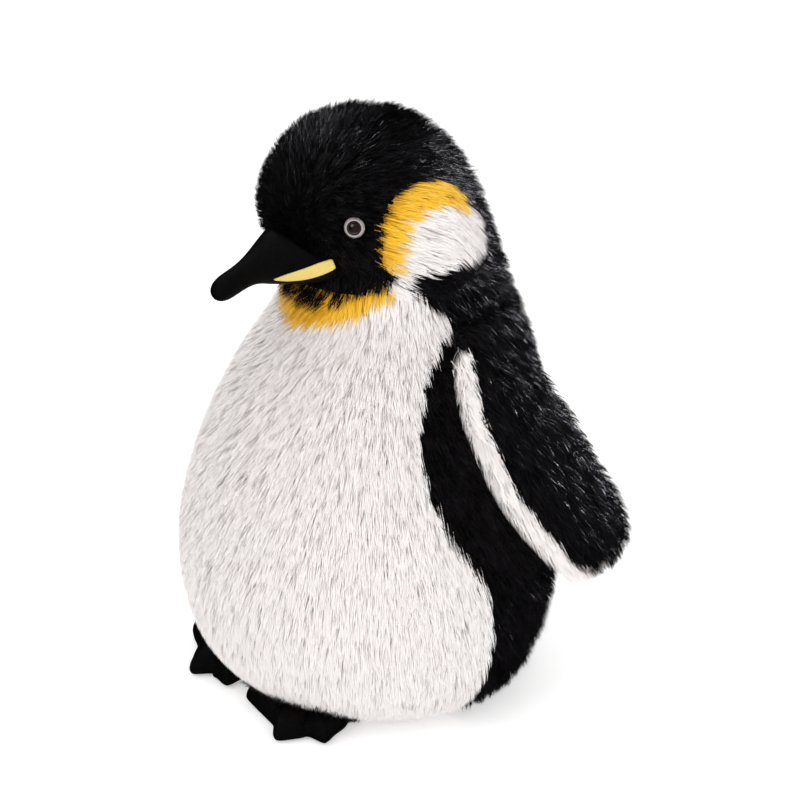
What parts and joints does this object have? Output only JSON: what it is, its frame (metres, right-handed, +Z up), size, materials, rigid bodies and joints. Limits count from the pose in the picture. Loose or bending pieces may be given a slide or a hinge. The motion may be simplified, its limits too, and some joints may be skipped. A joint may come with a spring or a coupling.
{
  "type": "plush penguin",
  "caption": "Seated stuffed penguin with long pile fabric, a turning head, two flippers that lift, two feet that flex, a soft beak and plastic eyes.",
  "frame": {"origin": "middle of the flat base between the flippers, on the floor", "axes": "+Z up through the head, -Y the way the beak points, +X the penguin's own left side"},
  "size_m": [0.3286, 0.2742, 0.428],
  "materials": {
    "white_fur": "long pile plush, warm white",
    "black_fur": "long pile plush, glossy black",
    "yellow_fur": "long pile plush, golden yellow",
    "black_velboa": "short smooth velvet pile",
    "stripe_felt": "pale yellow felt with a satin stitch edge",
    "stuffing": "polyester fibre filling",
    "base_fabric": "white plush, worn flat",
    "eye_black": "polished",
    "eye_ring": "pinkish grey, satin",
    "washer_plastic": "moulded"
  },
  "bodies": {
    "torso": {"base_panel": "base_fabric", "torso_stuffing": "stuffing", "belly_panel": "white_fur", "throat_bib": "yellow_fur", "left_back_panel": "black_fur", "right_back_panel": "black_fur"},
    "head": {"chin_panel": "black_fur", "head_gusset": "black_fur", "head_stuffing": "stuffing", "beak_upper": "black_velboa", "beak_lower": "black_velboa", "beak_stuffing": "stuffing", "left_cheek_white": "white_fur", "left_cheek_yellow": "yellow_fur", "left_head_side": "black_fur", "left_eye_dome": "eye_black", "left_eye_ring": "eye_ring", "left_eye_washer": "washer_plastic", "left_beak_stripe": "stripe_felt", "right_cheek_white": "white_fur", "right_cheek_yellow": "yellow_fur", "right_head_side": "black_fur", "right_eye_dome": "eye_black", "right_eye_ring": "eye_ring", "right_eye_washer": "washer_plastic", "right_beak_stripe": "stripe_felt"},
    "left_flipper": {"left_flipper_outer": "black_fur", "left_flipper_inner": "white_fur", "left_flipper_wadding": "stuffing"},
    "right_flipper": {"right_flipper_outer": "black_fur", "right_flipper_inner": "white_fur", "right_flipper_wadding": "stuffing"},
    "left_foot": {"left_foot_upper": "black_velboa", "left_foot_sole": "black_velboa", "left_foot_stuffing": "stuffing"},
    "right_foot": {"right_foot_upper": "black_velboa", "right_foot_sole": "black_velboa", "right_foot_stuffing": "stuffing"}
  },
  "joints": [
    {"name": "neck_turn", "type": "hinge", "parent": "torso", "child": "head", "pos_m": [0, 0.0225, 0.3122], "axis": [0, 0, 1], "range_deg": [-15, 15], "stiffness_Nm_per_rad": 0.3},
    {"name": "left_flipper_lift", "type": "hinge", "parent": "torso", "child": "left_flipper", "pos_m": [0.0925, 0.034, 0.288], "axis": [0.1135, -0.9521, -0.2838], "range_deg": [0, 60], "stiffness_Nm_per_rad": 0.05},
    {"name": "right_flipper_lift", "type": "hinge", "parent": "torso", "child": "right_flipper", "pos_m": [-0.0925, 0.034, 0.288], "axis": [0.1135, 0.9521, 0.2838], "range_deg": [0, 60], "stiffness_Nm_per_rad": 0.05},
    {"name": "left_foot_flex", "type": "hinge", "parent": "torso", "child": "left_foot", "pos_m": [0.054, -0.062, 0.005], "axis": [-1, 0, 0], "range_deg": [0, 20], "stiffness_Nm_per_rad": 0.03},
    {"name": "right_foot_flex", "type": "hinge", "parent": "torso", "child": "right_foot", "pos_m": [-0.054, -0.062, 0.005], "axis": [-1, 0, 0], "range_deg": [0, 20], "stiffness_Nm_per_rad": 0.03}
  ]
}
